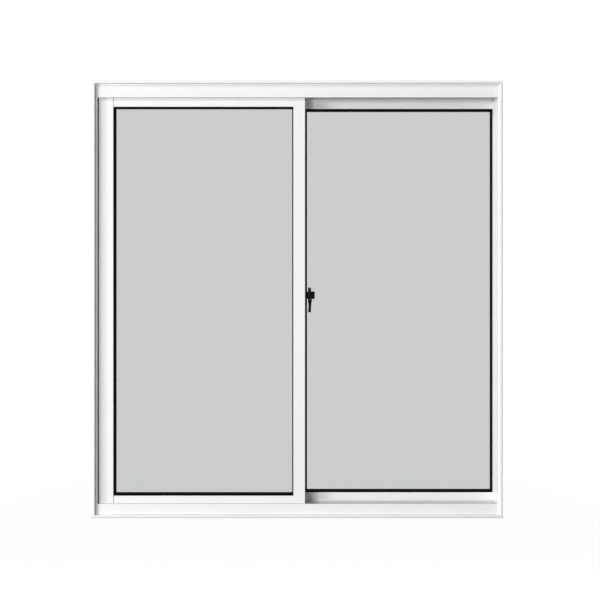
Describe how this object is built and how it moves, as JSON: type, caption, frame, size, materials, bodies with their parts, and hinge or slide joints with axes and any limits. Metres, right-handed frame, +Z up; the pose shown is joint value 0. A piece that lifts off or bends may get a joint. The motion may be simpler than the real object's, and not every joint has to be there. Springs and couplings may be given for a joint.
{
  "type": "horizontal sliding window",
  "caption": "White aluminium sliding window: a glazed sash runs on rollers past a fixed glazed panel and is held shut by a black crescent latch.",
  "frame": {"origin": "middle of the sill's underside", "axes": "+Z up, +X to the right seen from the room, +Y from the room to the outside"},
  "size_m": [0.94, 0.0706, 1],
  "materials": {
    "white_powder_coat": "smooth satin white powder coat on extruded aluminium",
    "grey_glass": "clear float glass that reads pale grey",
    "black_gasket": "matt black glazing rubber",
    "black_latch": "semi-gloss black paint on die-cast metal",
    "nylon": "natural moulded nylon",
    "plated_steel": "zinc-plated pressed steel",
    "pile": "grey woven pile seal"
  },
  "bodies": {
    "frame": {"frame_head": "white_powder_coat", "frame_sill": "white_powder_coat", "frame_jamb_left": "white_powder_coat", "frame_jamb_right": "white_powder_coat", "fixed_meeting_stile": "white_powder_coat", "fixed_bottom_rail": "white_powder_coat", "fixed_top_rail": "white_powder_coat", "fixed_glass": "grey_glass", "fixed_gasket": "black_gasket", "latch_keeper": "black_latch", "head_pile": "pile", "sill_pile": "pile", "interlock_pile": "pile"},
    "sash": {"sash_jamb_stile": "white_powder_coat", "sash_meeting_stile": "white_powder_coat", "sash_bottom_rail": "white_powder_coat", "sash_top_rail": "white_powder_coat", "sash_glass": "grey_glass", "sash_gasket": "black_gasket", "latch_base": "black_latch", "latch_pivot": "black_latch", "roller_wheel_left": "nylon", "roller_wheel_right": "nylon", "top_guide_left": "nylon", "top_guide_right": "nylon", "roller_bracket_left": "plated_steel", "roller_bracket_right": "plated_steel", "jamb_pile": "pile"},
    "latch": {"latch_lever": "black_latch"}
  },
  "joints": [
    {"name": "sash_slide", "type": "slide", "parent": "frame", "child": "sash", "axis": [1, 0, 0], "range_m": [0, 0.415]},
    {"name": "latch_turn", "type": "hinge", "parent": "sash", "child": "latch", "pos_m": [0.028, -0.01185, 0.5092], "axis": [-1, 0, 0], "range_deg": [0, 180]}
  ]
}
